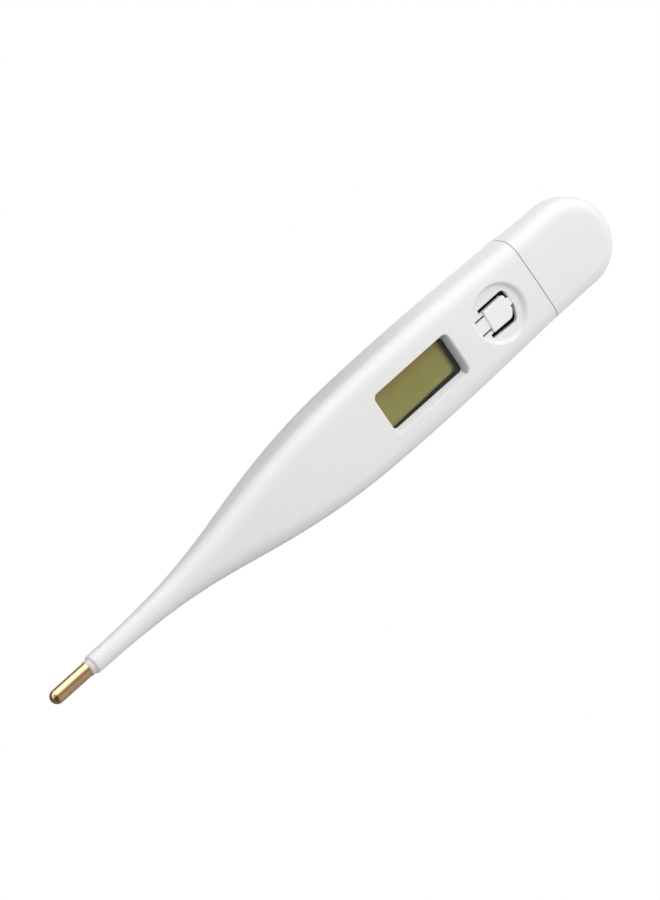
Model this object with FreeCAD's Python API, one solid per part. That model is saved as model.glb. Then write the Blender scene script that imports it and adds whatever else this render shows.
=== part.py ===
"""Pencil-type digital clinical thermometer, modelled as it is assembled.

Own frame, millimetres: +X from the sensing tip to the battery-cover end,
+Y across the body, +Z out of the display face.  The origin is the middle of
the underside, so the thermometer lies on the plane z = 0.
"""
import FreeCAD, Part
import math
import os

Vector = FreeCAD.Vector
os.makedirs("parts", exist_ok=True)

# ---------------------------------------------------------------- overall
X_TAIL = 63.1            # round end of the battery cover
X_TIP = -X_TAIL          # domed end of the metal tip
Z_AXIS = 5.0             # height of the body's long axis
TOP_HALF = 5.0           # axis to display face
BACK_HALF = 5.07         # axis to the crowned back, before its flat is cut
Z_FACE = Z_AXIS + TOP_HALF
CROWN = 0.12             # rise of the display face across its width

# ---------------------------------------------------- outside of the body
# station x, half width, half thickness
STATIONS = [
    (-54.0, 1.680, 1.680), (-51.0, 1.700, 1.700), (-48.0, 1.739, 1.735),
    (-45.0, 1.828, 1.815), (-42.0, 1.956, 1.940), (-39.0, 2.131, 2.120),
    (-36.0, 2.366, 2.355), (-33.0, 2.678, 2.650), (-30.0, 3.072, 2.965),
    (-27.0, 3.542, 3.275), (-24.0, 4.076, 3.560), (-21.0, 4.649, 3.825),
    (-18.0, 5.231, 4.057), (-15.0, 5.786, 4.250), (-12.0, 6.290, 4.410),
    (-9.0, 6.739, 4.552), (-6.0, 7.133, 4.672), (-3.0, 7.469, 4.768),
    (0.0, 7.750, 4.842), (3.0, 7.965, 4.900), (6.0, 8.105, 4.942),
    (9.0, 8.190, 4.970), (13.0, 8.255, 4.990), (17.0, 8.285, 4.998),
    (21.0, 8.285, 5.000), (25.0, 8.249, 5.000), (29.0, 8.177, 5.000),
    (33.0, 8.077, 5.000), (37.0, 7.961, 5.000), (41.0, 7.836, 5.000),
    (45.8, 7.690, 5.000), (47.6, 7.680, 5.000),
]
X_STEM_END = STATIONS[0][0]          # where the plastic stem stops
X_PARTING = 45.8         # parting line of the battery cover, at the face
PARTING_SLOPE = 0.13     # the parting plane runs tailwards below the face
FLAT_START, FLAT_LENGTH = -47.0, 52.0    # where the round stem turns into a slab
FLAT_Y, FLAT_Z = 0.65, 0.40          # flat share of width and thickness
BACK_START, BACK_LENGTH = -5.0, 22.0     # where the back gains its extra depth
PANEL_X0, PANEL_X1, PANEL_HALF_WIDTH, PANEL_HEIGHT = 13.0, 44.0, 3.4, 0.08
RIM_LENGTH = 0.40        # rounded rim at the stem's end
OUTLINE_STEPS = 160      # fine points on each stretch of a quarter outline
CURVE_STEPS = 14         # curve spans fitted to each quarter outline

# ------------------------------------------------------- metal tip, leads
TIP_R, TIP_WALL = 1.25, 0.20
TIP_INNER_R = TIP_R - TIP_WALL
TIP_CENTRE_X = X_TIP + TIP_R
TIP_SEAT_R = TIP_R       # counterbore that holds the metal tip
TIP_SEAT_X = -51.5
X_COLLAR = -54.9
POTTING_END_X = -57.6
BEAD_X, BEAD_R = -61.35, 0.42
LEAD_R, LEAD_Y, SLACK_X = 0.17, 0.25, -26.0
# slack part of a lead: x, distance from the middle, share of the extra
# sideways wave, height above the axis
LEAD_PATH = [
    (SLACK_X, LEAD_Y, 0, 0.0), (-22.0, 0.45, 0, -0.1), (-17.0, 0.9, 1, -0.5),
    (-12.5, 1.9, 1, -0.9), (-8.0, 1.2, 1, -0.6), (-4.0, 0.6, 1, 0.2),
    (-0.5, 1.0, 0, 0.45), (2.6, 1.1, 0, 0.43), (4.0, 1.1, 0, 0.43),
]

# ------------------------------------------------------ inside of the body
WALL = 1.30              # side wall of the body shell
FACE_WALL = 1.20         # wall of the display face and the back
CAVITY_CORNER = 1.5
BORE_R = 0.95            # wire bore in the stem
CAVITY_END = (43.8, 7.74, TOP_HALF)      # last cavity station, as in STATIONS

# -------------------------------------------------------- display opening
Z_FRAME = 8.37           # lower side of the display frame
# tapered frame: x0, x1, y0, y1, corner radius, height
WINDOW_BOTTOM = (11.22, 26.98, -3.31, 3.45, 0.75, Z_FRAME)
WINDOW_TOP = (10.68, 27.62, -4.02, 3.80, 1.00, 9.86)
WINDOW_RIM = (10.40, 27.92, -4.30, 4.08, 1.25, 10.10)
LENS_AREA = (9.0, 29.2, -5.0, 5.0)       # x0, x1, y0, y1
LENS_THICKNESS = 0.26

# ----------------------------------------------------------------- button
BUTTON_X = 37.15         # reference point of the button
POST_X = BUTTON_X + 0.30
POST_R, POST_Z0 = 1.10, 6.25
DISH_X = 37.42           # centre of the round dish
DISH_R, DISH_FLOOR_R = 5.05, 4.40
Z_DISH = 9.20            # dish floor
BOSS_R, Z_BOSS = 5.75, 8.35
Z_PAD = Z_DISH + 0.28    # top of the button's pad
NECK_Y = 1.10            # half width of the spring tongue
# section of the dish: radius, height above its floor
DISH_SECTION = [
    (0, 0), (DISH_FLOOR_R - 0.12, 0), (DISH_FLOOR_R + 0.10, 0.05),
    (DISH_FLOOR_R + 0.25, 0.18), (DISH_FLOOR_R + 0.38, 0.38),
    (DISH_R - 0.16, 0.58), (DISH_R - 0.02, 0.70), (DISH_R + 0.25, 0.80),
    (DISH_R + 0.90, 0.95), (0, 0.95),
]
# outlines seen from above: x from BUTTON_X, y, corner radius if rounded
SLOT = [(-4.50, -1.43, 0.12), (-2.35, -1.43), (-2.35, -1.99), (-2.88, -1.99),
        (-2.88, -2.72, 0.25), (2.50, -3.02, 1.15), (3.45, -0.90, 1.2),
        (3.40, 2.66, 0.95), (-2.60, 2.66, 0.20), (-2.60, 1.99),
        (-2.10, 1.99), (-2.10, 1.43), (-4.20, 1.43, 0.15), (-4.20, -1.13),
        (-4.50, -1.13, 0.12)]
PAD = [(-2.20, -1.97, 0.12), (1.90, -2.07, 1.10), (2.78, -0.90, 0.5),
       (2.75, -0.40), (3.28, -0.30, 0.12), (3.27, 0.95, 0.12), (2.71, 1.05),
       (2.70, 1.97, 0.50), (-1.95, 1.97, 0.12)]
NECK = [(-4.15, -NECK_Y), (-1.50, -NECK_Y), (-1.50, NECK_Y), (-4.15, NECK_Y)]
# side view of the ramp from tongue to pad: x from BUTTON_X, height above Z_DISH
RAMP = [(-1.96, 0), (-1.50, 0), (-1.50, 0.22), (-1.86, 0.16)]

# ------------------------------------------------------- spigot and cover
# bars along X: half width, half height, corner radius
SPIGOT = (6.40, 4.00, 2.25)
SPIGOT_BORE = (5.65, 3.25, 1.00)
SPIGOT_CLEARANCE = 0.05
COVER_INSIDE = tuple(size + SPIGOT_CLEARANCE for size in SPIGOT)
SPIGOT_X0, SPIGOT_X1 = 43.0, 51.8
COVER_GAP = 0.12
TAIL_R = 7.68
TAIL_X = X_TAIL - TAIL_R             # centre of the round end
TAIL_BACK_FLATS = (0.50, 0.05)       # the cover's back is rounder
# x, half width, flat shares (width, thickness) of the back half
COVER_STATIONS = [
    (X_PARTING, 7.690, (FLAT_Y, FLAT_Z)), (47.20, 7.684, (0.642, 0.33)),
    (49.00, TAIL_R, (0.615, 0.20)), (51.00, TAIL_R, (0.570, 0.10)),
    (53.30, TAIL_R, (0.525, 0.06)), (TAIL_X, TAIL_R, TAIL_BACK_FLATS),
]

# ---------------------------------------------------------- inner parts
CARRIER_Y = 5.50
CARRIER_X0, CARRIER_X1 = 1.0, 56.2
BOARD_X0, BOARD_X1, BOARD_Y = 2.0, 46.4, 4.85
BOARD_Z0, BOARD_Z1 = 4.40, 5.20
TRACK_HEIGHT = 0.05      # printed contacts on the board
GLASS_X0, GLASS_X1 = 8.6, 28.7
GLASS_Y0, FRONT_GLASS_Y1, REAR_GLASS_Y1 = -4.80, 4.80, 3.60
# levels between the display's layers, from rear polarizer to mask
LCD_Z = (6.40, 6.55, 7.10, 7.15, 7.70, 7.85, 8.05)
MASK_OPENING = [(11.40, -3.00, 0.25), (26.45, -2.68, 0.25),
                (26.45, 3.36, 0.25), (11.40, 3.36, 0.25)]
BUZZER_X, BUZZER_R, CERAMIC_R = 33.5, 4.5, 3.2
PLATE_Z0, CERAMIC_Z0, CERAMIC_Z1 = 2.40, 2.60, 2.80
# battery, 7.9 x 3.6
BATTERY_X, BATTERY_R, BATTERY_Z0, BATTERY_Z1 = 51.85, 3.95, 2.95, 6.55
CAN_WALL, CAP_R, CAP_Z1 = 0.25, 3.15, 4.30
BATTERY_CLEARANCE = 0.10
SPRING_T, SPRING_Y = 0.15, 1.2       # contact strip: thickness, half width
SPRING_X, SPRING_FOOT_X, SPRING_END_X = 45.9, 44.6, 53.0
SPRING_Z0, SPRING_Z1 = 2.70, 6.78    # lowest and highest side of the contacts


# ======================================================= general helpers
def export(shape, name):
    assert shape.isValid(), name
    assert all(s.isValid() for s in shape.Solids), name
    shape.exportStep("parts/%s.step" % name)


def one(shape):
    """The single solid of a result, with its faces merged."""
    solids = shape.removeSplitter().Solids
    assert len(solids) == 1, len(solids)
    return solids[0]


def box(x0, x1, y0, y1, z0, z1):
    return Part.makeBox(x1 - x0, y1 - y0, z1 - z0, Vector(x0, y0, z0))


def upright_cyl(x, y, z0, z1, radius):
    return Part.makeCylinder(radius, z1 - z0, Vector(x, y, z0), Vector(0, 0, 1))


def long_cyl(x0, x1, radius, y=0.0):
    """Cylinder along X at the height of the body's axis."""
    return Part.makeCylinder(radius, x1 - x0, Vector(x0, y, Z_AXIS), Vector(1, 0, 0))


def plan_wire(corners, z, x_shift=0.0):
    """Level outline from (x, y) or (x, y, corner radius) corners."""
    points = [Vector(corner[0] + x_shift, corner[1], z) for corner in corners]
    count = len(points)
    bends = []           # start, end and middle of each corner
    for i, point in enumerate(points):
        if len(corners[i]) < 3:
            bends.append((point, point, None))
            continue
        radius = corners[i][2]
        back = (points[i - 1] - point).normalize()
        ahead = (points[(i + 1) % count] - point).normalize()
        half_angle = back.getAngle(ahead) / 2
        reach = radius / math.tan(half_angle)
        inward = (back + ahead).normalize()
        middle = point + inward * (radius / math.sin(half_angle) - radius)
        bends.append((point + back * reach, point + ahead * reach, middle))
    edges = []
    for i, (start, end, middle) in enumerate(bends):
        if middle is not None:
            edges.append(Part.Arc(start, middle, end).toShape())
        following = bends[(i + 1) % count][0]
        if (following - end).Length > 1e-7:
            edges.append(Part.makeLine(end, following))
    return Part.Wire(edges)


def prism(corners, z0, z1, x_shift=0.0):
    return Part.Face(plan_wire(corners, z0, x_shift)).extrude(Vector(0, 0, z1 - z0))


def rounded_wire(x0, x1, y0, y1, radius, z):
    return plan_wire([(x1, y0, radius), (x1, y1, radius),
                      (x0, y1, radius), (x0, y0, radius)], z)


def rounded_box(x0, x1, y0, y1, z0, z1, radius):
    """Upright block with rounded vertical corners."""
    base = Part.Face(rounded_wire(x0, x1, y0, y1, radius, z0))
    return base.extrude(Vector(0, 0, z1 - z0))


def bar(half_width, half_height, radius, x0, x1):
    """Rounded-rectangle bar along X."""
    shape = rounded_box(-half_height, half_height, -half_width, half_width,
                        0, x1 - x0, radius)
    shape.rotate(Vector(0, 0, 0), Vector(0, 1, 0), 90)
    shape.translate(Vector(x0, 0, Z_AXIS))
    return shape


def bar_end(half_width, half_height, radius, x):
    """Half-round end of such a bar, swept about a vertical axis."""
    def at(y, height):
        return Vector(x, y, Z_AXIS + height)
    y_bend, z_bend = half_width - radius, half_height - radius
    diagonal = radius * math.sqrt(0.5)
    y_middle, z_middle = y_bend + diagonal, z_bend + diagonal
    edges = [
        Part.makeLine(at(0, half_height), at(y_bend, half_height)),
        Part.Arc(at(y_bend, half_height), at(y_middle, z_middle),
                 at(half_width, z_bend)).toShape(),
        Part.makeLine(at(half_width, z_bend), at(half_width, -z_bend)),
        Part.Arc(at(half_width, -z_bend), at(y_middle, -z_middle),
                 at(y_bend, -half_height)).toShape(),
        Part.makeLine(at(y_bend, -half_height), at(0, -half_height)),
        Part.makeLine(at(0, -half_height), at(0, half_height)),
    ]
    return Part.Face(Part.Wire(edges)).revolve(Vector(x, 0, 0), Vector(0, 0, 1), -180)


def turned(profile, x_shift):
    """Ring or pin turned about the body's long axis from (x, radius) points."""
    points = [Vector(x + x_shift, 0, Z_AXIS + radius) for x, radius in profile]
    face = Part.Face(Part.makePolygon(points + points[:1]))
    return face.revolve(Vector(0, 0, Z_AXIS), Vector(1, 0, 0), 360)


def span(side, low, high):
    """A y range, mirrored when side is -1."""
    return (low, high) if side > 0 else (-high, -low)


def level_edges(shape, z):
    """Edges lying wholly at height z."""
    return [edge for edge in shape.Edges
            if abs(edge.BoundBox.ZMin - z) < 1e-5
            and abs(edge.BoundBox.ZMax - z) < 1e-5]


# ========================================================= cross sections
def smooth(u):
    u = min(max(u, 0.0), 1.0)
    return u * u * u * (u * (6 * u - 15) + 10)


def quarter(half_width, height, flats, crown):
    """Quarter outline from the top middle (0, height) to the side."""
    corner_y = half_width * flats[0]
    radius_y, radius_z = half_width * (1 - flats[0]), height * (1 - flats[1])
    # the crown's parabola meets the elliptic corner where their slopes agree
    join_y, angle = corner_y, 0.0
    if crown > 1e-9 and corner_y > 1e-6:
        for _ in range(40):
            angle = math.atan(2 * crown / max(join_y, 1e-9) * radius_y / radius_z)
            join_y = corner_y + radius_y * math.sin(angle)
    corner_z = height - crown - radius_z * math.cos(angle)
    points = []
    for i in range(OUTLINE_STEPS):
        y = join_y * i / OUTLINE_STEPS
        drop = crown * (y / join_y) ** 2 if join_y > 1e-9 else 0.0
        points.append((y, height - drop))
    for i in range(OUTLINE_STEPS):
        turn = angle + (math.pi / 2 - angle) * i / OUTLINE_STEPS
        points.append((corner_y + radius_y * math.sin(turn),
                       corner_z + radius_z * math.cos(turn)))
    for i in range(OUTLINE_STEPS + 1):
        points.append((half_width, corner_z * (1 - i / OUTLINE_STEPS)))
    return points


def even(line, count):
    """count + 1 points at equal arc length along a polyline."""
    lengths = [0.0]
    for (y0, z0), (y1, z1) in zip(line, line[1:]):
        lengths.append(lengths[-1] + math.hypot(y1 - y0, z1 - z0))
    points, j = [], 0
    for i in range(count + 1):
        target = lengths[-1] * i / count
        while j < len(lengths) - 2 and lengths[j + 1] < target:
            j += 1
        step = lengths[j + 1] - lengths[j]
        part = (target - lengths[j]) / step if step > 1e-12 else 0.0
        (y0, z0), (y1, z1) = line[j], line[j + 1]
        points.append((y0 + (y1 - y0) * part, z0 + (z1 - z0) * part))
    return points


def half_edge(x, half_width, top, bottom, flats, crown, side, back_flats=None):
    """Half outline, top middle to bottom middle, on side +1 or -1."""
    upper = even(quarter(half_width, top, flats, crown), CURVE_STEPS)
    lower = even(quarter(half_width, bottom, back_flats or flats, crown), CURVE_STEPS)
    points = [Vector(x, side * y, Z_AXIS + z) for y, z in upper]
    points += [Vector(x, side * y, Z_AXIS - z) for y, z in reversed(lower[:-1])]
    curve = Part.BSplineCurve()
    curve.interpolate(Points=points,
                      Parameters=[i / (len(points) - 1) for i in range(len(points))],
                      InitialTangent=Vector(0, side, 0),
                      FinalTangent=Vector(0, -side, 0))
    return curve


def outline(x, half_width, top, bottom, flats, crown, back_flats=None):
    sizes = (x, half_width, top, bottom, flats, crown)
    there = half_edge(*sizes, 1, back_flats)
    again = half_edge(*sizes, -1, back_flats)
    again.reverse()
    return Part.Wire([there.toShape(), again.toShape()])


def slab_share(x):
    """0 where the stem is round, 1 where the body is a full slab."""
    return smooth((x - FLAT_START) / FLAT_LENGTH)


def body_wire(x, half_width, half_height):
    share = slab_share(x)
    deeper = (BACK_HALF - TOP_HALF) * smooth((x - BACK_START) / BACK_LENGTH)
    return outline(x, half_width, half_height, half_height + deeper,
                   (FLAT_Y * share, FLAT_Z * share), CROWN * share * share)


def cavity_wire(x, half_width, half_height):
    share = slab_share(x)
    width = max(half_width - WALL, BORE_R)
    height = min(max(half_height - FACE_WALL, BORE_R), TOP_HALF - FACE_WALL)
    flats = [share * max(0.0, 1 - CAVITY_CORNER / size) for size in (width, height)]
    return outline(x, width, height, height, flats, 0.0)


def cover_wire(x, half_width, back_flats):
    return outline(x, half_width, TOP_HALF, BACK_HALF, (FLAT_Y, FLAT_Z),
                   CROWN, back_flats)


def smooth_loft(wires):
    return Part.makeLoft(wires, True, False, False, 5)


def under_back():
    """Space below the back, which stands on one raised flat panel."""
    return box(-70, 70, -12, 12, -3, PANEL_HEIGHT).cut(
        box(PANEL_X0, PANEL_X1, -PANEL_HALF_WIDTH, PANEL_HALF_WIDTH, 0, 1))


def parting_wedge(x, x_far):
    """Everything between the parting plane, moved to x, and x_far."""
    z0, z1 = -1.0, 12.0
    points = [Vector(x + (Z_FACE - z) * PARTING_SLOPE, -12, z) for z in (z0, z1)]
    points += [Vector(x_far, -12, z1), Vector(x_far, -12, z0)]
    return Part.Face(Part.makePolygon(points + points[:1])).extrude(Vector(0, 24, 0))


# ============================================================= body shell
def body_outside():
    body = smooth_loft([body_wire(*station) for station in STATIONS])
    body = body.cut(under_back())
    body = body.cut(parting_wedge(X_PARTING, 60.0))
    # round the rim at the stem's end; x is measured from that end
    kept = turned([(-0.6, 0), (-0.6, 1.28), (0, 1.28), (0.04, 1.43),
                   (0.12, 1.55), (0.24, 1.635), (RIM_LENGTH, 1.69),
                   (RIM_LENGTH + 0.2, 1.9), (RIM_LENGTH + 0.2, 0)], X_STEM_END)
    return body.cut(long_cyl(X_STEM_END - 0.5, X_STEM_END + RIM_LENGTH, 2.6).cut(kept))


def window_funnel():
    """Tapered display opening, with a broken edge."""
    bottom, top, rim = [rounded_wire(*sizes)
                        for sizes in (WINDOW_BOTTOM, WINDOW_TOP, WINDOW_RIM)]
    funnel = Part.makeLoft([bottom, top], True, True)
    edge = Part.makeLoft([top, rim], True, True)
    throat = rounded_box(*WINDOW_BOTTOM[:4], Z_FRAME - 0.3, Z_FRAME, WINDOW_BOTTOM[4])
    return funnel.fuse([edge, throat])


def button_dish():
    points = [Vector(DISH_X + radius, 0, Z_DISH + height)
              for radius, height in DISH_SECTION]
    face = Part.Face(Part.makePolygon(points + points[:1]))
    return face.revolve(Vector(DISH_X, 0, 0), Vector(0, 0, 1), 360)


def housing():
    inner = [station for station in STATIONS if TIP_SEAT_X <= station[0] <= SPIGOT_X0]
    cavity = smooth_loft([cavity_wire(*station) for station in inner + [CAVITY_END]])
    shell = body_outside().fuse(bar(*SPIGOT, SPIGOT_X0, SPIGOT_X1))
    shell = shell.cut(cavity)
    shell = shell.cut(bar(*SPIGOT_BORE, SPIGOT_X0 - 1, SPIGOT_X1 + 1))
    shell = shell.cut(long_cyl(X_STEM_END - 1, TIP_SEAT_X, TIP_SEAT_R))
    shell = shell.cut(long_cyl(TIP_SEAT_X - 0.1, -50.0, BORE_R - 0.15))
    # frame behind the display face, with the pane's seat on its lower side
    shell = shell.fuse(box(*LENS_AREA, Z_FRAME, 9.0))
    shell = shell.cut(box(*LENS_AREA, 7.6, Z_FRAME))
    shell = shell.cut(window_funnel())
    # round dish for the button, with a boss behind it
    shell = shell.fuse(upright_cyl(DISH_X, 0, Z_BOSS, 9.5, BOSS_R))
    shell = shell.cut(button_dish())
    # opening round the button's pad and its spring tongue
    shell = shell.cut(prism(SLOT, Z_BOSS - 0.5, Z_DISH + 0.5, BUTTON_X))
    return one(shell)


def window_lens():
    return rounded_box(*LENS_AREA, Z_FRAME - LENS_THICKNESS, Z_FRAME, 0.3)


def power_button():
    pad = prism(PAD, Z_BOSS, Z_PAD, BUTTON_X)
    pad = pad.makeChamfer(0.10, level_edges(pad, Z_PAD))
    neck = prism(NECK, 8.65, Z_DISH, BUTTON_X)
    side_view = [Vector(BUTTON_X + x, 0, Z_DISH + height) for x, height in RAMP]
    ramp = Part.Face(Part.makePolygon(side_view + side_view[:1])).extrude(
        Vector(0, NECK_Y, 0))
    ramp = ramp.fuse(ramp.mirror(Vector(0, 0, 0), Vector(0, 1, 0)))
    post = upright_cyl(POST_X, 0, POST_Z0, Z_BOSS + 0.2, POST_R)
    post_root = Part.makeCone(POST_R + 0.45, POST_R, 0.45,
                              Vector(POST_X, 0, Z_BOSS), Vector(0, 0, -1))
    return one(pad.fuse([neck, ramp, post, post_root]))


def battery_cover():
    cover = smooth_loft([cover_wire(*station) for station in COVER_STATIONS])
    profile = half_edge(TAIL_X, TAIL_R, TOP_HALF, BACK_HALF, (FLAT_Y, FLAT_Z),
                        CROWN, 1, TAIL_BACK_FLATS).toShape()
    ends = [vertex.Point for vertex in profile.Vertexes]
    middle_line = Part.makeLine(ends[-1], ends[0])
    tail = Part.Face(Part.Wire([profile, middle_line])).revolve(
        Vector(TAIL_X, 0, 0), Vector(0, 0, 1), -180)
    cover = cover.fuse(tail)
    cover = cover.cut(under_back())
    cover = cover.cut(parting_wedge(X_PARTING + COVER_GAP, 30.0))
    inside = bar(*COVER_INSIDE, X_PARTING - 1, TAIL_X)
    inside = inside.fuse(bar_end(*COVER_INSIDE, TAIL_X))
    return one(cover.cut(inside))


def case_pieces():
    return {
        "housing": housing(),
        "window_lens": window_lens(),
        "power_button": power_button(),
        "contact_pill": upright_cyl(POST_X, 0, POST_Z0 - 0.5, POST_Z0, POST_R - 0.05),
        "battery_cover": battery_cover(),
    }


# ======================================================== metal tip, leads
def domed_rod(x_end, radius):
    return long_cyl(TIP_CENTRE_X, x_end, radius).fuse(
        Part.makeSphere(radius, Vector(TIP_CENTRE_X, 0, Z_AXIS)))


def collar_ring():
    return turned([(0, TIP_R), (0.03, TIP_R + 0.07), (0.15, TIP_R + 0.12),
                   (0.60, TIP_R + 0.14), (X_STEM_END - X_COLLAR, TIP_R + 0.17),
                   (X_STEM_END - X_COLLAR, TIP_R)], X_COLLAR)


def straight_lead(side):
    return long_cyl(BEAD_X + 0.2, SLACK_X, LEAD_R, y=side * LEAD_Y)


def lead(side, wave):
    points = [Vector(x, side * (y + wave * share), Z_AXIS + height)
              for x, y, share, height in LEAD_PATH]
    curve = Part.BSplineCurve()
    curve.interpolate(Points=points, InitialTangent=Vector(1, 0, 0),
                      FinalTangent=Vector(1, 0, 0))
    path = Part.Wire([curve.toShape()])
    section = Part.Wire([Part.Circle(points[0], Vector(1, 0, 0), LEAD_R).toShape()])
    slack = path.makePipeShell([section], True, False)
    # the sweep may come back as a solid or as a bare shell
    slack = slack.Solids[0] if slack.Solids else Part.Solid(slack)
    return one(straight_lead(side).fuse(slack))


def tip_pieces():
    bead = Part.makeSphere(BEAD_R, Vector(BEAD_X, 0, Z_AXIS))
    bead = one(bead.fuse(turned([(0, 0), (0, 0.40), (0.75, 0.26), (0.75, 0)], BEAD_X)))
    legs = straight_lead(1).fuse(straight_lead(-1))
    tube = domed_rod(TIP_SEAT_X, TIP_R).cut(domed_rod(TIP_SEAT_X + 1, TIP_INNER_R))
    return {
        "metal_tip": one(tube),
        "collar_ring": collar_ring(),
        "lead_wire_a": lead(1, 0.0),
        "lead_wire_b": lead(-1, 0.35),
        "thermistor_bead": one(bead.cut(legs)),
        "tip_potting": one(domed_rod(POTTING_END_X, TIP_INNER_R).cut(bead).cut(legs)),
    }


# ========================================================== circuit board
def on_board(x0, x1, y0, y1, height):
    return box(x0, x1, y0, y1, BOARD_Z1, BOARD_Z1 + height)


def contact_comb(side):
    """One of two interleaved combs under the button's post."""
    comb = on_board(POST_X - 1.5, POST_X + 1.5, *span(side, 1.45, 1.70), TRACK_HEIGHT)
    for i in range(3):
        x = POST_X - 1.35 + i * 1.0 + (0.5 if side < 0 else 0.0)
        comb = comb.fuse(on_board(x, x + 0.25, *span(side, -1.2, 1.5), TRACK_HEIGHT))
    return one(comb)


def chips(places, length_x, length_y, height):
    half_x, half_y = length_x / 2, length_y / 2
    return [on_board(x - half_x, x + half_x, y - half_y, y + half_y, height)
            for x, y in places]


def solder_joint(y):
    ball = Part.makeSphere(0.62, Vector(4.85, y, BOARD_Z1))
    return ball.common(on_board(4.2, 6.0, y - 1, y + 1, 1)).Solids[0]


def board_pieces():
    coating = Part.makeSphere(5.2, Vector(17.5, 0, BOARD_Z0 + 4.1)).common(
        box(10, 25, -5, 5, 2.0, BOARD_Z0))
    resistors = chips([(41.2, y) for y in (-3.4, -1.9, 1.9, 3.4)], 1.6, 0.8, 0.45)
    capacitors = chips([(43.5, -3.2), (43.5, 3.2)], 0.8, 1.6, 0.75)
    capacitors += chips([(12.0, -2.2), (15.0, -2.2)], 1.6, 0.8, 0.75)
    return {
        "circuit_board": rounded_box(BOARD_X0, BOARD_X1, -BOARD_Y, BOARD_Y,
                                     BOARD_Z0, BOARD_Z1, 0.4),
        "contact_pads": Part.makeCompound([contact_comb(1), contact_comb(-1)]),
        "chip_coating": one(coating),
        "chip_resistors": Part.makeCompound(resistors),
        "chip_capacitors": Part.makeCompound(capacitors),
        "solder_joints": Part.makeCompound([solder_joint(1.1), solder_joint(-1.1)]),
    }


# ========================================================== display stack
def lcd_layer(inset, y0, y1, level):
    """Sheet between two neighbouring levels of the stack."""
    return box(GLASS_X0 + inset, GLASS_X1 - inset, y0, y1,
               LCD_Z[level], LCD_Z[level + 1])


def display_pieces():
    seal = lcd_layer(0.1, GLASS_Y0 + 0.1, REAR_GLASS_Y1 - 0.1, 2).cut(
        box(GLASS_X0 + 0.8, GLASS_X1 - 0.8, -3.95, 3.02, 7.0, 7.2))
    mask = rounded_box(GLASS_X0, GLASS_X1, GLASS_Y0, FRONT_GLASS_Y1,
                       LCD_Z[5], LCD_Z[6], 0.3)
    return {
        "lcd_front_glass": lcd_layer(0, GLASS_Y0, FRONT_GLASS_Y1, 3),
        "lcd_rear_glass": lcd_layer(0, GLASS_Y0, REAR_GLASS_Y1, 1),
        "lcd_edge_seal": one(seal),
        "lcd_front_polarizer": lcd_layer(0.3, -4.50, 4.50, 4),
        "lcd_rear_polarizer": lcd_layer(0.3, -4.50, 3.40, 0),
        "display_mask": one(mask.cut(prism(MASK_OPENING, 7.5, 8.5))),
        "zebra_connector": box(GLASS_X0 + 0.6, GLASS_X1 - 0.6, 3.75, 4.75,
                               BOARD_Z1, LCD_Z[3]),
    }


# ======================================================== buzzer, battery
def buzzer_pieces():
    wires = [upright_cyl(BUZZER_X, 1.5, CERAMIC_Z1, BOARD_Z0, 0.15),
             upright_cyl(BUZZER_X, -3.6, CERAMIC_Z0, BOARD_Z0, 0.15)]
    return {
        "buzzer_plate": upright_cyl(BUZZER_X, 0, PLATE_Z0, CERAMIC_Z0, BUZZER_R),
        "buzzer_ceramic": upright_cyl(BUZZER_X, 0, CERAMIC_Z0, CERAMIC_Z1, CERAMIC_R),
        "buzzer_wires": Part.makeCompound(wires),
    }


def battery_contact(upright_z0, upright_z1, leaf_z, foot_z):
    """Upright strip with a leaf along the battery and a foot on the board."""
    def strip(x0, x1, z0, z1):
        return box(x0, x1, -SPRING_Y, SPRING_Y, z0, z1)
    bend_x = SPRING_X + SPRING_T
    upright = strip(SPRING_X, bend_x, upright_z0, upright_z1)
    return one(upright.fuse([
        strip(SPRING_X, SPRING_END_X, leaf_z, leaf_z + SPRING_T),
        strip(SPRING_FOOT_X, bend_x, foot_z, foot_z + SPRING_T)]))


def battery_cyl(z0, z1, radius):
    return upright_cyl(BATTERY_X, 0, z0, z1, radius)


def battery_pieces():
    inner_r, inner_z1 = BATTERY_R - CAN_WALL, BATTERY_Z1 - CAN_WALL
    can = battery_cyl(3.22, BATTERY_Z1, BATTERY_R).cut(
        battery_cyl(3.0, inner_z1, inner_r))
    cap = battery_cyl(BATTERY_Z0, CAP_Z1, CAP_R)
    gasket = battery_cyl(3.12, CAP_Z1, inner_r).cut(battery_cyl(3.0, 4.5, CAP_R))
    return {
        "contact_negative": battery_contact(SPRING_Z0, BOARD_Z0, SPRING_Z0,
                                            BOARD_Z0 - SPRING_T),
        "contact_positive": battery_contact(BOARD_Z1, SPRING_Z1,
                                            SPRING_Z1 - SPRING_T, BOARD_Z1),
        "battery_can": one(can.makeFillet(0.22, level_edges(can, BATTERY_Z1))),
        "battery_gasket": one(gasket),
        "battery_cap": one(cap.makeFillet(0.15, level_edges(cap, BATTERY_Z0))),
        "battery_core": battery_cyl(CAP_Z1, inner_z1, inner_r),
    }


# ========================================================== inner carrier
def battery_chamber():
    hole_r, floor_z = BATTERY_R + BATTERY_CLEARANCE, SPRING_Z0
    chamber = box(46.6, CARRIER_X1, -CARRIER_Y, CARRIER_Y, 1.95, 7.0)
    chamber = chamber.cut(battery_cyl(floor_z, 9, hole_r))
    chamber = chamber.cut(box(BATTERY_X, 60, -hole_r, hole_r, floor_z, 9))
    chamber = chamber.cut(box(46, BATTERY_X, -1.4, 1.4, floor_z, 9))
    return chamber.cut(rounded_box(54.2, 60, -1.6, 1.6, 0, 9, 0.8))


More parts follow.
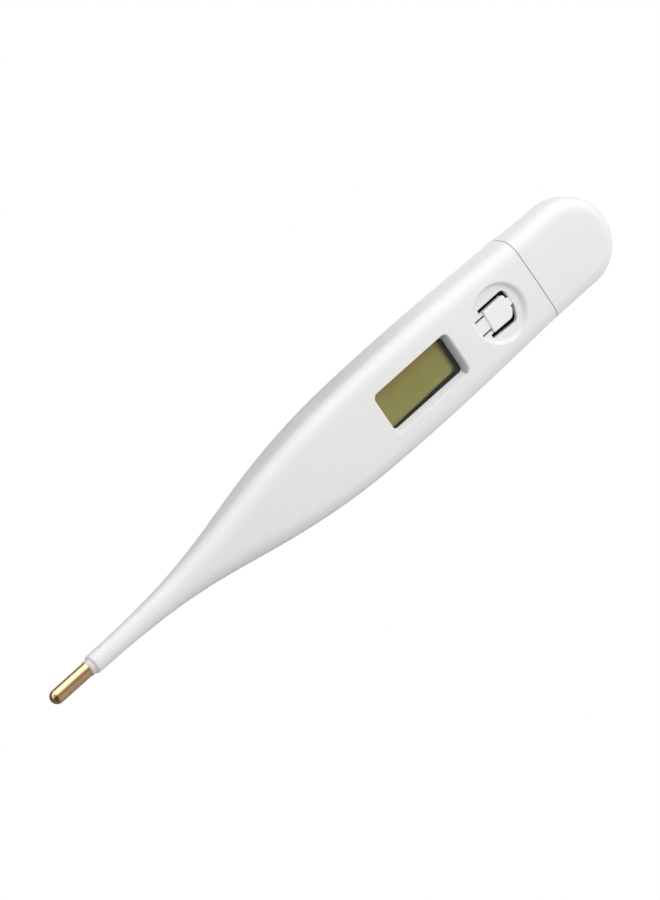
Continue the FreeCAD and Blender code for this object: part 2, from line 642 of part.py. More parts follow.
def carrier_pieces():
    parts = []
    for side in (1, -1):
        # side rail and board ledge
        parts.append(box(CARRIER_X0, 47.0, *span(side, 4.95, CARRIER_Y), 2.60, 7.60))
        parts.append(box(CARRIER_X0, 47.0, *span(side, 4.20, 5.2), 3.75, BOARD_Z0))
    # wall at the end nearest the tip
    parts.append(box(CARRIER_X0, CARRIER_X0 + 0.9, -CARRIER_Y, CARRIER_Y, 2.60, 7.0).cut(
        box(0, 3, -2.4, 2.4, BOARD_Z0, 9)))
    # display bars and ledge
    parts.append(box(7.6, 8.4, -5.2, 5.2, 5.25, 7.80))
    parts.append(box(28.9, 29.5, -5.2, 5.2, 5.25, 7.80))
    parts.append(box(8.0, 29.2, -5.2, -4.10, 5.25, LCD_Z[0]))
    # buzzer seat
    parts.append(box(27.5, 39.5, -5.2, 5.2, CERAMIC_Z0, 3.15).cut(
        upright_cyl(BUZZER_X, 0, 2, 4, 4.0)))
    parts.append(battery_chamber())
    carrier = parts[0].fuse(parts[1:])
    return {"carrier_frame": one(carrier.common(bar(CARRIER_Y, 3.06, 1.10, 0, 60)))}


for build in (case_pieces, tip_pieces, board_pieces, display_pieces,
              buzzer_pieces, battery_pieces, carrier_pieces):
    for piece_name, piece in build().items():
        export(piece, piece_name)
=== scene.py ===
"""A digital stick thermometer lying on a pale floor.

The long axis is X: the metal tip is at the -X end, the battery cover at the
+X end, and the display and button face +Z.  Scene units are metres.
"""
import math

import bmesh
import bpy
from mathutils import Matrix, Vector


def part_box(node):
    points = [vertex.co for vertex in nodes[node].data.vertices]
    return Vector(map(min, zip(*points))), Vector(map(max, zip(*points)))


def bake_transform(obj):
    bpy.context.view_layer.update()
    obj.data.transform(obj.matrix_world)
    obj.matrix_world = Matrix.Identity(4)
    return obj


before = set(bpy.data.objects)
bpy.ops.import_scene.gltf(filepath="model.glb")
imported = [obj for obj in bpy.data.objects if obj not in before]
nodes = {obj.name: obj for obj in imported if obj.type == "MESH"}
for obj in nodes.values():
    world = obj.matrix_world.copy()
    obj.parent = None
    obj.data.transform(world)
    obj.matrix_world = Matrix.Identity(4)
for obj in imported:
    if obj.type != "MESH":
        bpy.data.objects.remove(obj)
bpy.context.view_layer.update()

MM = 0.001
scene = bpy.context.scene


# ------------------------------------------------------------ node helpers
class Graph:
    """The node tree of a material or world, with short ways to add nodes."""

    def __init__(self, owner, output="OutputMaterial"):
        self.owner = owner
        owner.use_nodes = True
        self.tree = owner.node_tree
        self.tree.nodes.clear()
        self.output = self.node(output)
        self.coords = self.node("TexCoord")
        self.place = self.coords.outputs["Object"]

    def feed(self, socket, value):
        """Link a socket into the input, or set a plain value on it."""
        if isinstance(value, bpy.types.NodeSocket):
            self.tree.links.new(value, socket)
        elif socket.type == "RGBA":
            socket.default_value = (*value, 1.0)
        else:
            socket.default_value = value

    def node(self, kind, *values, settings=None, **inputs):
        """Positional values fill the first inputs, named ones go by name."""
        node = self.tree.nodes.new("ShaderNode" + kind)
        for name, value in (settings or {}).items():
            setattr(node, name, value)
        for socket, value in zip(node.inputs, values):
            self.feed(socket, value)
        for name, value in inputs.items():
            self.feed(node.inputs[name.replace("_", " ")], value)
        return node

    def value(self, kind, *values, **options):
        """Add a node and return its first output."""
        return self.node(kind, *values, **options).outputs[0]

    def math(self, operation, *values, clamp=False):
        return self.value("Math", *values,
                          settings={"operation": operation, "use_clamp": clamp})

    def add(self, first, second):
        return self.math("ADD", first, second)

    def multiply(self, first, second):
        return self.math("MULTIPLY", first, second)

    def vector(self, operation, *values):
        return self.value("VectorMath", *values, settings={"operation": operation})

    def stretched(self, x, y, z, at=None):
        """Texture coordinates scaled per axis; below 1 draws marks out."""
        return self.vector("MULTIPLY", at or self.place, (x, y, z))

    def axes(self, vector=None):
        return self.node("SeparateXYZ", vector or self.place).outputs

    def noise(self, scale, detail=3.0, rough=0.5, at=None, distort=0.0):
        return self.node("TexNoise", Vector=at or self.place, Scale=scale, Detail=detail,
                         Roughness=rough, Distortion=distort).outputs["Fac"]

    def cells(self, scale, at=None):
        return self.node("TexVoronoi", Vector=at or self.place,
                         Scale=scale).outputs["Distance"]

    def remap(self, value, span, to=(0, 1), smooth=False):
        settings = {"interpolation_type": "SMOOTHSTEP"} if smooth else None
        return self.node("MapRange", settings=settings, Value=value,
                         From_Min=span[0], From_Max=span[1],
                         To_Min=to[0], To_Max=to[1]).outputs["Result"]

    def mix(self, factor, first, second):
        node = self.node("Mix", factor, settings={"data_type": "RGBA"})
        self.feed(node.inputs[6], first)
        self.feed(node.inputs[7], second)
        return node.outputs[2]

    def two_tone(self, pattern, first, second):
        """Blend two colours over the middle of a noise pattern."""
        return self.mix(self.remap(pattern, span=(0.3, 0.7)), first, second)

    def bump(self, height, strength, distance, over=None):
        inputs = {"Normal": over} if over is not None else {}
        return self.node("Bump", Strength=strength, Distance=distance,
                         Height=height, **inputs).outputs["Normal"]

    def strips(self, angle, stops):
        """Brightness looked up from (angle, brightness) stops."""
        peak = 4                    # ramp colours are stored as parts of this
        node = self.node("ValToRGB", angle)
        elements = node.color_ramp.elements
        while len(elements) > 1:
            elements.remove(elements[-1])
        for i, (position, level) in enumerate(stops):
            element = elements[0] if i == 0 else elements.new(position)
            element.position = position
            element.color = (level / peak, level / peak, level / peak, 1.0)
        return self.multiply(self.value("RGBToBW", node.outputs["Color"]), float(peak))

    def finish(self, surface):
        self.feed(self.output.inputs["Surface"], surface)
        return self.owner

    def finish_principled(self, **inputs):
        return self.finish(self.value("BsdfPrincipled", **inputs))


def new_material(name):
    return Graph(bpy.data.materials.new(name))


def scaled(colour, factor):
    return tuple(channel * factor for channel in colour)


# --------------------------------------------------------------- materials
def window_shade(g):
    """Painted shade low on the +X end wall of the display opening."""
    x, y, z = g.axes()
    inside = g.multiply(g.remap(x, span=(0.02655, 0.02675)),
                        g.remap(x, span=(0.0280, 0.0269), to=(0.0, 0.62)))
    off_middle = g.math("ABSOLUTE", g.add(y, 0.0001))
    across = g.remap(off_middle, span=(0.0037, 0.0040), to=(1, 0))
    low = g.multiply(g.remap(z, span=(0.00955, 0.00982), to=(1, 0)),
                     g.remap(z, span=(0.0060, 0.0065)))
    return g.multiply(g.multiply(inside, across), low)


def moulded_plastic(name, seed=0.0, tone=(0.83, 0.83, 0.825), rough=0.36,
                    edge=0.00012, shade=None):
    """Satin white moulded plastic: fine eroded texture, slow flow variation,
    handling smears, scuffs and softly broken edges of radius `edge`."""
    g = new_material(name)
    at = g.vector("ADD", g.place, (seed, seed * 0.7, seed * 0.3))
    flow = g.noise(scale=55, detail=2.0, at=at)
    cloud = g.noise(scale=260, rough=0.55, at=at)
    grain = g.noise(scale=9000, detail=2.0, rough=0.6, at=at)
    eroded = g.cells(scale=5200, at=at)

    # the tone drifts slightly darker, lighter and cooler
    darker = scaled(tone, 0.985)
    lighter = (min(tone[0] * 1.012, 1), min(tone[1] * 1.012, 1), min(tone[2] * 1.006, 1))
    clouded = (tone[0] * 0.97, tone[1] * 0.972, tone[2] * 0.975)
    speck_tone = (0.62, 0.60, 0.56)
    colour = g.two_tone(flow, darker, lighter)
    colour = g.mix(g.remap(cloud, span=(0.55, 0.8), to=(0, 0.25)), colour, clouded)
    speck = g.noise(scale=2400, detail=1.0, at=at)
    colour = g.mix(g.remap(speck, span=(0.735, 0.76), to=(0, 0.35)), colour, speck_tone)
    # painted shade: the colour goes dark where the `shade` mask is given
    if shade:
        shade_tone = (0.10, 0.10, 0.10)
        colour = g.mix(shade(g), colour, shade_tone)

    # smears polish the surface, lengthwise scratches dull it
    gloss = g.remap(cloud, span=(0.2, 0.8), to=(rough - 0.05, rough + 0.06))
    smear = g.noise(scale=120, detail=4.0, rough=0.6, at=g.stretched(0.35, 1.6, 1.0, at=at),
                    distort=1.2)
    gloss = g.math("SUBTRACT", gloss, g.remap(smear, span=(0.52, 0.72), to=(0, 0.07)))
    scratch = g.noise(scale=1400, detail=2.0, at=g.stretched(0.045, 1.0, 1.0, at=at),
                      distort=0.4)
    scratch_rough = 0.08
    gloss = g.add(gloss, g.multiply(g.remap(scratch, span=(0.70, 0.74)), scratch_rough))

    # edge rounding and light scatter grow from the solid stem to the thin shell
    stem_to_shell = {"span": (-0.045, -0.030), "to": (0.0, edge)}
    soft = g.value("Bevel", settings={"samples": 4},
                   Radius=g.remap(g.axes()[0], **stem_to_shell))
    eroded_part, grain_part = 0.6, 0.4
    texture = g.add(g.multiply(eroded, eroded_part), g.multiply(grain, grain_part))
    normal = g.bump(texture, strength=0.10, distance=0.00002, over=soft)
    waves = g.noise(scale=35, detail=1.0, rough=0.4, at=at)
    normal = g.bump(waves, strength=0.05, distance=0.0006, over=normal)
    scatter = 0.12
    shader = g.node("BsdfPrincipled", Base_Color=colour, Roughness=gloss, Normal=normal,
                    IOR=1.53, Specular_IOR_Level=0.5, Subsurface_Weight=scatter,
                    Subsurface_Scale=0.0012, Subsurface_Radius=(1.0, 0.85, 0.75))
    g.feed(shader.inputs["Subsurface Weight"],
           g.remap(g.axes()[0], span=(-0.050, -0.030), to=(0.0, scatter)))
    return g.finish(shader.outputs[0])


def polished_tip():
    """Gold-toned metal cap with turning lines, lengthwise wipe marks and a
    darker dome, which is a painted dark reflection."""
    gold, pale_gold = (0.68, 0.44, 0.22), (0.80, 0.56, 0.31)
    wiped, dome_reflection_tone = (0.56, 0.35, 0.18), (0.40, 0.34, 0.28)
    dome_reflection_strength = 0.45
    g = new_material("polished_tip")
    x = g.axes()[0]
    turning = g.noise(scale=16000, detail=2.0, rough=0.6, at=g.stretched(1.0, 0.02, 0.02))
    wipe = g.noise(scale=4200, rough=0.55, at=g.stretched(0.06, 1.0, 1.0), distort=0.3)
    patch = g.noise(scale=700, rough=0.6)
    colour = g.two_tone(patch, gold, pale_gold)
    colour = g.mix(g.remap(wipe, span=(0.45, 0.75), to=(0, 0.35)), colour, wiped)
    # painted dark reflection: the dome darkens towards the tip end
    dome = g.remap(x, span=(-0.0630, -0.0618), to=(1, 0), smooth=True)
    colour = g.mix(g.multiply(dome, dome_reflection_strength), colour, dome_reflection_tone)
    gloss = g.add(g.remap(patch, span=(0.2, 0.8), to=(0.07, 0.13)),
                  g.remap(wipe, span=(0.5, 0.8), to=(0, 0.05)))
    normal = g.bump(turning, strength=0.05, distance=0.000008)
    normal = g.bump(wipe, strength=0.04, distance=0.000012, over=normal)
    return g.finish_principled(Base_Color=colour, Metallic=1.0, Roughness=gloss,
                               Normal=normal)


def milky_adhesive():
    """Milky, slightly pink cured adhesive with a few tiny bubbles."""
    pink, pale_pink, bubble_tone = (0.68, 0.63, 0.64), (0.76, 0.72, 0.73), (0.84, 0.82, 0.82)
    g = new_material("milky_adhesive")
    cloud = g.noise(scale=900)
    bubble = g.cells(scale=2600)
    colour = g.two_tone(cloud, pink, pale_pink)
    colour = g.mix(g.remap(bubble, span=(0.0, 0.16), to=(0.5, 0)), colour, bubble_tone)
    return g.finish_principled(Base_Color=colour, Roughness=0.24, Coat_Weight=0.15,
                               Normal=g.bump(cloud, strength=0.10, distance=0.00004))


def clear_sheet(name, tint, reflection, roughest):
    """Thin clear plastic or glass: light passes straight through, and the
    polished reflection is broken by faint wipe marks."""
    g = new_material(name)
    fresnel = g.value("Fresnel", IOR=1.49)
    wipe = g.noise(scale=420, detail=4.0, rough=0.6, at=g.stretched(0.5, 1.5, 1.0),
                   distort=0.8)
    waves = g.noise(scale=240, detail=1.0, rough=0.4)
    mirror = g.value("BsdfGlossy",
                     Roughness=g.remap(wipe, span=(0.4, 0.75), to=(0.03, roughest)),
                     Normal=g.bump(waves, strength=0.04, distance=0.0001))
    wiped = scaled(tint, 0.9)
    through = g.mix(g.remap(wipe, span=(0.55, 0.85), to=(0, 0.10)), tint, wiped)
    clear = g.value("BsdfTransparent", Color=through)
    share = g.math("MULTIPLY", fresnel, reflection, clamp=True)
    return g.finish(g.value("MixShader", share, clear, mirror))


def display_film():
    """Reflective display film, switched off: olive, browner along its +Y
    edge, with a fine sparkle, painted deep shade at its +X end and painted shade along its
    -Y edge."""
    olive, light_olive = (0.335, 0.325, 0.088), (0.385, 0.362, 0.106)
    brown, pale = (0.375, 0.285, 0.068), (0.420, 0.372, 0.118)
    spark_tone, grain_tone = (0.50, 0.48, 0.20), (0.21, 0.19, 0.05)
    end_shade, side_shade = (0.012, 0.011, 0.008), (0.22, 0.16, 0.08)
    g = new_material("display_film")
    x, y, _ = g.axes()
    slow = g.noise(scale=140, rough=0.55)
    spark = g.noise(scale=9000, detail=1.0)
    grain = g.cells(scale=6000)
    colour = g.two_tone(slow, olive, light_olive)
    for factor, tone in (
            (g.remap(y, span=(0.0002, 0.0032), to=(0.0, 0.85), smooth=True), brown),
            (g.remap(y, span=(-0.0004, -0.0024), to=(0.0, 0.5), smooth=True), pale),
            (g.remap(x, span=(0.0145, 0.0112), to=(0.0, 0.6), smooth=True), pale),
            (g.remap(spark, span=(0.56, 0.72), to=(0, 0.25)), spark_tone),
            (g.remap(grain, span=(0.0, 0.3), to=(0.14, 0.0)), grain_tone)):
        colour = g.mix(factor, colour, tone)
    # painted shade at the +X end; it reaches a little further in along the -Y edge
    lead = g.remap(y, span=(-0.0018, -0.0030), to=(0.0, 0.0004), smooth=True)
    far = g.remap(g.add(x, lead), span=(0.0252, 0.0269), smooth=True)
    colour = g.mix(far, colour, end_shade)
    # painted shade along the -Y edge
    side = g.remap(y, span=(-0.0022, -0.0032), to=(0.0, 0.5), smooth=True)
    colour = g.mix(side, colour, side_shade)
    return g.finish_principled(
        Base_Color=colour, Roughness=g.remap(spark, span=(0.2, 0.8), to=(0.36, 0.50)),
        Normal=g.bump(grain, strength=0.04, distance=0.00001), Specular_IOR_Level=0.3)


def plain(name, first, second, rough=0.5, scale=700, bump=0.12, bump_scale=5000,
          metallic=0.0, coat=0.0, scatter=0.0, stretch=(1, 1, 1), bump_distance=0.00002):
    """Two-tone base used by the small inner pieces."""
    g = new_material(name)
    at = g.stretched(*stretch)
    blotch = g.noise(scale=scale, detail=4.0, rough=0.6, at=at)
    fine = g.noise(scale=bump_scale, rough=0.6, at=at)
    gloss = g.remap(blotch, span=(0.25, 0.75), to=(max(rough - 0.08, 0.03), rough + 0.08))
    return g.finish_principled(
        Base_Color=g.two_tone(blotch, first, second), Roughness=gloss, Metallic=metallic,
        Normal=g.bump(fine, strength=bump, distance=bump_distance), Coat_Weight=coat,
        Subsurface_Weight=scatter, Subsurface_Scale=0.0008)


def solder_mask():
    """Green mask over raised, lighter tracks, with tinned vias and a brown
    glass-epoxy edge."""
    green, light_green, track_green = (0.012, 0.090, 0.035), (0.020, 0.125, 0.050), (
        0.050, 0.230, 0.090)
    tin, epoxy, pale_epoxy = (0.70, 0.68, 0.62), (0.30, 0.24, 0.12), (0.44, 0.38, 0.20)
    black, white = (0, 0, 0), (1, 1, 1)
    g = new_material("solder_mask")
    normal_z = g.axes(g.node("NewGeometry").outputs["Normal"])[2]
    flat = g.remap(g.math("ABSOLUTE", normal_z), span=(0.6, 0.8))
    # the mortar lines of a long, irregular brick pattern are the tracks
    track = g.node("TexBrick",
                   settings={"offset": 0.37, "squash": 1.6, "squash_frequency": 3},
                   Vector=g.place, Scale=260, Mortar_Size=0.035, Mortar_Smooth=0.2,
                   Brick_Width=0.9, Row_Height=0.21, Color1=black, Color2=black,
                   Mortar=white).outputs["Color"]
    cloud = g.noise(scale=600, rough=0.6)
    colour = g.two_tone(cloud, green, light_green)
    colour = g.mix(track, colour, track_green)
    via = g.remap(g.cells(scale=330), span=(0.09, 0.11), to=(1, 0))
    colour = g.mix(via, colour, tin)
    layers = g.noise(scale=2600, detail=2, at=g.stretched(0.2, 0.2, 6))
    colour = g.mix(flat, g.two_tone(layers, epoxy, pale_epoxy), colour)
    height = g.value("RGBToBW", track)
    return g.finish_principled(
        Base_Color=colour, Roughness=g.remap(cloud, span=(0.2, 0.8), to=(0.22, 0.36)),
        Normal=g.bump(height, strength=0.5, distance=0.00003),
        Metallic=g.multiply(via, flat))


def rolled_metal(name, first, second, rough, stretch):
    """Rolled or stamped bright metal with a directional grain and tarnish."""
    g = new_material(name)
    grain = g.noise(scale=9000, rough=0.6, at=g.stretched(*stretch))
    tarnish = g.noise(scale=700, detail=4.0, rough=0.6)
    gloss = g.add(g.remap(grain, span=(0.2, 0.8), to=(rough - 0.06, rough + 0.06)),
                  g.remap(tarnish, span=(0.55, 0.8), to=(0, 0.10)))
    return g.finish_principled(
        Base_Color=g.two_tone(tarnish, first, second), Metallic=1.0, Roughness=gloss,
        Normal=g.bump(grain, strength=0.12, distance=0.00001))


def stamped_steel():
    """Bright can with concentric spun marks on its flat faces."""
    grey, light_grey = (0.60, 0.60, 0.60), (0.73, 0.73, 0.72)
    edge_rough = 0.04
    g = new_material("stamped_steel")
    lo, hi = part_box("battery_can")
    centre = (lo + hi) / 2
    x, y, _ = g.axes(g.vector("SUBTRACT", g.place, (centre.x, centre.y, 0)))
    radius = g.math("SQRT", g.add(g.multiply(x, x), g.multiply(y, y)))
    rings = g.noise(scale=22000, detail=2.0, rough=0.6, at=g.value("CombineXYZ", radius))
    tarnish = g.noise(scale=520, detail=4.0, rough=0.6)
    edge = g.remap(radius, span=(0.0029, 0.0031), smooth=True)
    gloss = g.add(g.remap(rings, span=(0.2, 0.8), to=(0.15, 0.30)),
                  g.multiply(edge, edge_rough))
    return g.finish_principled(
        Base_Color=g.two_tone(tarnish, grey, light_grey), Metallic=1.0, Roughness=gloss,
        Normal=g.bump(rings, strength=0.18, distance=0.00001))


def paint(material, *pieces):
    for piece in pieces:
        for slot in nodes[piece].material_slots:
            slot.material = material


paint(moulded_plastic("moulded_white_body", shade=window_shade), "housing")
paint(moulded_plastic("moulded_white_cover", seed=0.37, tone=(0.84, 0.84, 0.835)),
      "battery_cover")
paint(moulded_plastic("moulded_white_button", seed=0.81, tone=(0.885, 0.885, 0.88),
                      rough=0.33), "power_button")
paint(polished_tip(), "metal_tip")
paint(milky_adhesive(), "collar_ring")
paint(clear_sheet("clear_pane", tint=(0.99, 0.99, 0.98), reflection=0.5, roughest=0.12),
      "window_lens")
paint(display_film(), "lcd_front_polarizer")
paint(plain("black_card", (0.010, 0.010, 0.010), (0.020, 0.019, 0.018), rough=0.6,
            scale=900, bump=0.3, bump_scale=7000), "display_mask")
paint(clear_sheet("cut_glass", tint=(0.90, 0.94, 0.88), reflection=1.0, roughest=0.05),
      "lcd_front_glass", "lcd_rear_glass")
paint(plain("perimeter_seal", (0.16, 0.16, 0.15), (0.22, 0.22, 0.20)), "lcd_edge_seal")
paint(plain("rear_film", (0.30, 0.30, 0.20), (0.38, 0.38, 0.27), rough=0.35,
            scale=1200, bump=0.1, bump_scale=9000), "lcd_rear_polarizer")
paint(plain("layered_silicone", (0.10, 0.10, 0.10), (0.62, 0.30, 0.30), rough=0.55,
            scale=9000, bump=0.2, bump_scale=9000, stretch=(1, 0.02, 0.02)),
      "zebra_connector")
paint(plain("carbon_silicone", (0.012, 0.012, 0.012), (0.026, 0.026, 0.026), rough=0.65,
            scale=2500, bump=0.3, bump_scale=9000), "contact_pill")
paint(plain("natural_plastic", (0.70, 0.70, 0.66), (0.76, 0.76, 0.73), rough=0.42,
            scale=300, bump=0.18, bump_scale=4500, scatter=0.15), "carrier_frame")
paint(solder_mask(), "circuit_board")
paint(plain("printed_carbon", (0.020, 0.020, 0.020), (0.045, 0.045, 0.045), rough=0.55,
            scale=3000, bump=0.3, bump_scale=12000), "contact_pads")
paint(plain("glob_top", (0.010, 0.010, 0.011), (0.018, 0.018, 0.018), rough=0.20,
            scale=500, bump=0.25, bump_scale=1500, coat=0.5, bump_distance=0.0001),
      "chip_coating")
paint(plain("glazed_chip", (0.012, 0.012, 0.014), (0.030, 0.030, 0.034), rough=0.35,
            scale=1800, bump=0.2, bump_scale=9000), "chip_resistors")
paint(plain("ceramic_chip", (0.34, 0.24, 0.15), (0.44, 0.33, 0.21), rough=0.45,
            scale=1800, bump=0.2, bump_scale=9000), "chip_capacitors")
paint(rolled_metal("bright_solder", (0.66, 0.66, 0.66), (0.78, 0.78, 0.78), rough=0.22,
                   stretch=(1, 1, 1)), "solder_joints", "buzzer_wires")
paint(rolled_metal("rolled_brass", (0.60, 0.42, 0.15), (0.72, 0.54, 0.22), rough=0.26,
                   stretch=(0.05, 1, 1)), "buzzer_plate")
paint(plain("silvered_ceramic", (0.62, 0.61, 0.56), (0.72, 0.71, 0.67), rough=0.40,
            scale=900, bump=0.2, bump_scale=9000, metallic=0.6), "buzzer_ceramic")
paint(rolled_metal("nickel_strip", (0.58, 0.57, 0.53), (0.70, 0.69, 0.64), rough=0.25,
                   stretch=(0.04, 1, 1)), "contact_negative", "contact_positive")
paint(stamped_steel(), "battery_can", "battery_cap")
paint(plain("cell_gasket", (0.10, 0.13, 0.26), (0.14, 0.17, 0.32), rough=0.45,
            scale=900, bump=0.15), "battery_gasket")
paint(plain("pressed_pellet", (0.03, 0.03, 0.03), (0.06, 0.06, 0.06), rough=0.8,
            scale=2500, bump=0.6, bump_scale=6000), "battery_core")
ENAMEL = {"rough": 0.30, "scale": 1500, "bump": 0.1, "bump_scale": 6000, "coat": 0.4}
paint(plain("enamel_red", (0.42, 0.06, 0.03), (0.52, 0.09, 0.05), **ENAMEL), "lead_wire_a")
paint(plain("enamel_gold", (0.42, 0.26, 0.08), (0.54, 0.36, 0.13), **ENAMEL),
      "lead_wire_b")
paint(plain("bead_glass", (0.16, 0.05, 0.02), (0.24, 0.09, 0.04), rough=0.12,
            scale=1500, bump=0.1, bump_scale=6000, coat=0.6), "thermistor_bead")
paint(plain("thermal_paste", (0.66, 0.66, 0.63), (0.76, 0.76, 0.74), rough=0.6,
            scale=2200, bump=0.4, bump_scale=5000), "tip_potting")


# -------------------------------------------------------------- tongue web
def add_mesh(name, bm, material):
    mesh = bpy.data.meshes.new(name)
    bm.to_mesh(mesh)
    bm.free()
    mesh.materials.append(material)
    piece = bpy.data.objects.new(name, mesh)
    scene.collection.objects.link(piece)
    return piece


# all in millimetres
DISH_X = 37.42                # centre of the round dish about the button
FLOOR_Z = 9.20                # dish floor, level with the tongue
# radius from the dish centre, height of the dish surface
DISH_PROFILE = [(0.0, FLOOR_Z), (4.28, FLOOR_Z), (4.50, 9.25), (4.65, 9.38),
                (4.78, 9.58), (4.89, 9.78)]
WEB_HALF_WIDTH = 1.085
WEB_STEPS = 24                # across Y
UNDER_GAP = 0.002             # between the web and the surface below it
WALL_EDGE_X = 32.948          # where the web leaves the dish wall
# x, rise of the web's top above the wall
WALL_TOP = [(32.86, 0.0035), (32.885, 0.009), (32.915, 0.012), (WALL_EDGE_X, 0.011)]
# the top then falls in a curve on to the tongue
FALL_LENGTH, FALL_FOOT_Z, FALL_POWER = 0.172, 9.212, 2.2
FALL_PARTS = (0.12, 0.25, 0.4, 0.55, 0.7, 0.85)
TONGUE_TOP = [(33.12, 9.211), (33.16, 9.208), (33.19, 9.2045)]    # x, z
UNDER_TONGUE_X = (33.19, 33.10, 33.0)
UNDER_WALL_X = (WALL_EDGE_X, 32.905, 32.86)


def dish_height(x, y):
    radius = math.hypot(x - DISH_X, y)
    for (r0, z0), (r1, z1) in zip(DISH_PROFILE, DISH_PROFILE[1:]):
        if radius <= r1:
            return z0 + (z1 - z0) * (radius - r0) / (r1 - r0)
    return DISH_PROFILE[-1][1]


def web_section(y):
    """Closed outline (x, z) of the web at one y: along the top, back below."""
    outline = [(x, dish_height(x, y) + rise) for x, rise in WALL_TOP]
    drop = outline[-1][1] - FALL_FOOT_Z
    outline += [(WALL_EDGE_X + FALL_LENGTH * part,
                 FALL_FOOT_Z + drop * (1 - part) ** FALL_POWER) for part in FALL_PARTS]
    outline += TONGUE_TOP
    outline += [(x, FLOOR_Z + UNDER_GAP) for x in UNDER_TONGUE_X]
    outline += [(x, dish_height(x, y) + UNDER_GAP) for x in UNDER_WALL_X]
    return outline


def tongue_web():
    """The moulded skin over the root of the button's spring tongue: it runs
    from the dish wall down on to the tongue."""
    bm = bmesh.new()
    rings = []
    for j in range(WEB_STEPS + 1):
        y = -WEB_HALF_WIDTH + 2 * WEB_HALF_WIDTH * j / WEB_STEPS
        rings.append([bm.verts.new((x * MM, y * MM, z * MM)) for x, z in web_section(y)])
    for ring, following in zip(rings, rings[1:]):
        for k in range(len(ring)):
            m = (k + 1) % len(ring)
            bm.faces.new((ring[k], ring[m], following[m], following[k]))
    caps = [bm.faces.new(rings[0][::-1]), bm.faces.new(rings[-1])]
    bmesh.ops.recalc_face_normals(bm, faces=bm.faces)

    # sharp round both caps and along the two ends where top meets underside
    under = len(UNDER_TONGUE_X) + len(UNDER_WALL_X)
    rim = {ring[k] for ring in rings for k in (0, -1, -under, -under - 1)}
    for edge in bm.edges:
        if (any(face in caps for face in edge.link_faces)
                or (edge.verts[0] in rim and edge.verts[1] in rim)):
            edge.smooth = False
    web = add_mesh("tongue_web", bm, moulded_plastic(
        "moulded_white_web", tone=(0.87, 0.87, 0.865), edge=0.0))
    for polygon in web.data.polygons:
        polygon.use_smooth = True
    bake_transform(web)


tongue_web()

# ------------------------------------------------------------------- stage
# Mirrored brightness by angle about the long axis, as (part of a half turn,
# brightness).  Above: from the +Y horizon over the ceiling to the -Y horizon.
STRIPS_ABOVE = [(0.0, 2.9), (0.05, 3.0), (0.144, 3.0), (0.23, 2.2), (0.31, 0.85),
                (0.395, 0.45), (0.478, 0.32), (0.56, 0.42), (0.645, 0.54),
                (0.74, 0.52), (0.83, 0.43), (1.0, 0.38)]
# Below: from the -Y horizon under the object to the +Y horizon.
STRIPS_BELOW = [(0.0, 0.38), (0.25, 0.16), (0.5, 0.08), (0.68, 0.20),
                (0.83, 0.5), (0.955, 2.5), (1.0, 2.8)]
WHITE = (1, 1, 1)
FLOOR_SIZE, FLOOR_CELLS = 3.0, 4
FLOOR_DROP = 0.0002           # floor below z = 0, in metres


def pale_floor():
    """White to the camera.  To the object it is a grey sweep with painted
    light and shade, and it glows softly under the battery cover as a painted light."""
    grey, light_grey = (0.43, 0.43, 0.43), (0.47, 0.47, 0.47)
    near_tone, away_tone = (0.82, 0.82, 0.82), (0.28, 0.28, 0.28)
    g = new_material("pale_floor")
    light_path = g.node("LightPath")
    is_camera = light_path.outputs["Is Camera Ray"]
    seen = g.value("Emission", Color=WHITE, Strength=1.0)

    # painted light on the -Y side, painted shade on the +Y side short of the +X end
    x, y, _ = g.axes()
    colour = g.mix(g.noise(scale=4, detail=2.0), grey, light_grey)
    near = g.multiply(g.remap(y, span=(0.0, -0.012), smooth=True),
                      g.remap(x, span=(-0.025, 0.010), to=(0.35, 1)))
    colour = g.mix(near, colour, near_tone)
    away = g.multiply(g.remap(y, span=(0.002, 0.010), smooth=True),
                      g.remap(x, span=(0.012, 0.035), to=(1, 0)))
    colour = g.mix(away, colour, away_tone)
    # painted light: the floor glows under the battery cover
    glow = g.remap(x, span=(0.010, 0.040), to=(0.02, 0.38), smooth=True)
    sweep = g.value("AddShader", g.value("BsdfDiffuse", Color=colour),
                    g.value("Emission", Strength=glow))

    # what polished surfaces mirror, by the direction of the ray
    incoming = g.axes(g.node("NewGeometry").outputs["Incoming"])
    angle = g.math("ARCTAN2", g.multiply(incoming[2], -1.0), g.multiply(incoming[1], -1.0))
    half_turns = g.add(g.math("DIVIDE", angle, math.pi), 1.0)
    mirrored = g.value("Emission",
                       Strength=g.add(g.strips(half_turns, STRIPS_BELOW), glow))
    unseen = g.value("MixShader", light_path.outputs["Is Glossy Ray"], sweep, mirrored)
    solid = g.value("MixShader", is_camera, unseen, seen)

    # clear to a camera underneath, so that the back can be looked at
    under = g.multiply(is_camera, g.node("NewGeometry").outputs["Backfacing"])
    return g.finish(g.value("MixShader", under, solid, g.value("BsdfTransparent")))


def add_floor():
    bm = bmesh.new()
    bmesh.ops.create_grid(bm, x_segments=FLOOR_CELLS, y_segments=FLOOR_CELLS,
                          size=FLOOR_SIZE)
    floor = add_mesh("floor", bm, pale_floor())
    floor.location = (0, 0, -FLOOR_DROP)


add_floor()


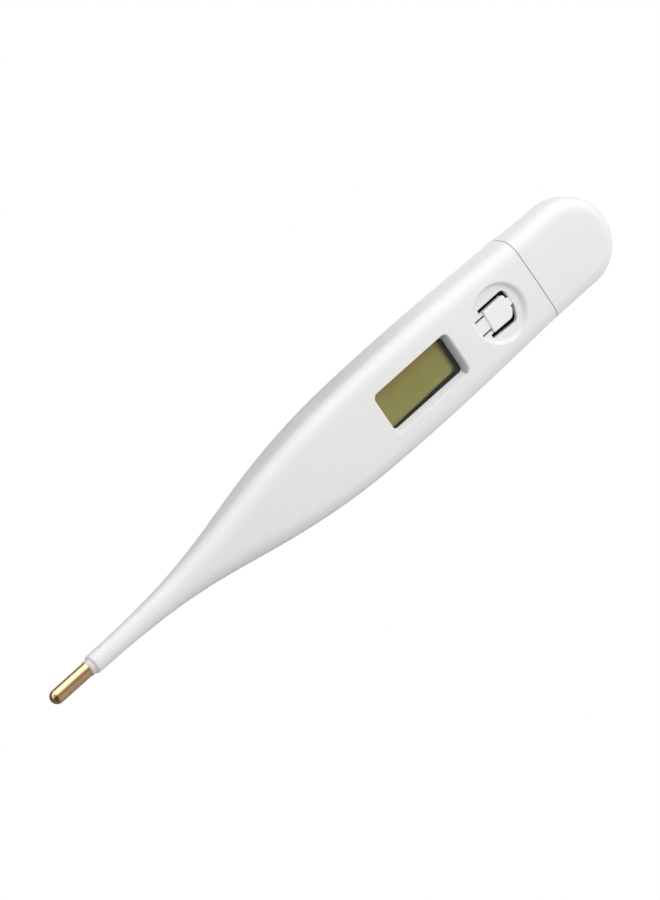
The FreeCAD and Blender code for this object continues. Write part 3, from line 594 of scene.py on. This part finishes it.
def studio_world():
    """One very large soft light wrapped over the +X +Y side of the room,
    fading to a dim corner opposite; plain white where the camera looks."""
    scene.world = bpy.data.worlds.new("studio")
    g = Graph(scene.world, "OutputWorld")
    x, y, z = g.axes(g.vector("NORMALIZE", g.coords.outputs["Generated"]))

    # room light: a quadratic in the ray direction, less an offset, with a floor
    level, offset, dimmest = 0.735, 0.338, 0.12
    room = None
    for weight, part in (
            (0.515, x), (0.415, y), (1.361, z),
            (1.142, g.multiply(x, x)), (1.303, g.multiply(y, y)),
            (-0.111, g.multiply(x, y)), (0.368, g.multiply(x, z)),
            (0.374, g.multiply(y, z))):
        term = g.multiply(part, weight * level)
        room = term if room is None else g.add(room, term)
    room = g.math("MAXIMUM", g.math("SUBTRACT", room, offset * level), dimmest)

    # extra light low on the +Y side
    side_power, low_power, side_strength = 3.0, 2.0, 0.6
    side = g.math("POWER", g.math("MAXIMUM", y, 0.0), side_power)
    low = g.math("POWER", g.math("SUBTRACT", 1.0, z), low_power)
    room = g.add(room, g.multiply(g.multiply(side, low), side_strength))

    # what polished surfaces mirror: a long low softbox on the +Y side, a dim
    # ceiling and a dim wall opposite, darker towards the tip end
    half_turns = g.math("DIVIDE", g.math("ARCTAN2", z, y), math.pi)
    tip_end = g.remap(x, span=(-0.55, 0.15), to=(0.25, 1.0), smooth=True)
    mirrored = g.multiply(g.strips(half_turns, STRIPS_ABOVE), tip_end)
    light_path = g.node("LightPath")
    pick = g.node("Mix", light_path.outputs["Is Glossy Ray"],
                  settings={"data_type": "FLOAT"})
    g.feed(pick.inputs[2], room)
    g.feed(pick.inputs[3], mirrored)

    lit = g.value("Background", Color=WHITE, Strength=pick.outputs[0])
    seen = g.value("Background", Color=WHITE)
    g.finish(g.value("MixShader", light_path.outputs["Is Camera Ray"], lit, seen))


studio_world()


def tail_fill():
    """Weak square light above the battery end, kept out of reflections."""
    place, target = Vector((0.10, -0.02, 0.16)), Vector((0.045, 0, 0.005))
    light = bpy.data.lights.new("tail_fill", "AREA")
    light.shape = "RECTANGLE"
    light.size = light.size_y = 0.10
    light.energy = 0.031
    lamp = bpy.data.objects.new("tail_fill", light)
    lamp.location = place
    lamp.rotation_euler = (target - place).to_track_quat("-Z", "Y").to_euler()
    lamp.visible_glossy = False
    scene.collection.objects.link(lamp)


tail_fill()

# ------------------------------------------------------------------ camera
IMAGE_RIGHT = Vector((0.689, -0.539, 0.485))
TO_CAMERA = Vector((-0.382, 0.299, 0.875))
SUBJECT = Vector((0, 0, 5.0 * MM))
SHIFT_RIGHT, SHIFT_UP = 0.848 * MM, 1.136 * MM    # aim point from the subject
VIEW_WIDTH = 144 * MM                             # seen at the subject
CAMERA_DISTANCE = 4.8
SENSOR_WIDTH = 36.0                               # mm, like the lens


def add_camera():
    right = IMAGE_RIGHT.normalized()
    back = TO_CAMERA.normalized()
    right = (right - back * right.dot(back)).normalized()
    up = back.cross(right)
    aim = SUBJECT + right * SHIFT_RIGHT + up * SHIFT_UP
    data = bpy.data.cameras.new("camera")
    camera = bpy.data.objects.new("camera", data)
    scene.collection.objects.link(camera)
    data.sensor_width = SENSOR_WIDTH
    data.lens = SENSOR_WIDTH * CAMERA_DISTANCE / VIEW_WIDTH
    data.clip_start, data.clip_end = 0.01, 60.0
    camera.matrix_world = Matrix((
        (right.x, up.x, back.x, 0), (right.y, up.y, back.y, 0),
        (right.z, up.z, back.z, 0), (0, 0, 0, 1)))
    camera.location = aim + back * CAMERA_DISTANCE
    scene.camera = camera


add_camera()
scene.view_settings.view_transform = "Standard"
scene.view_settings.look = "None"
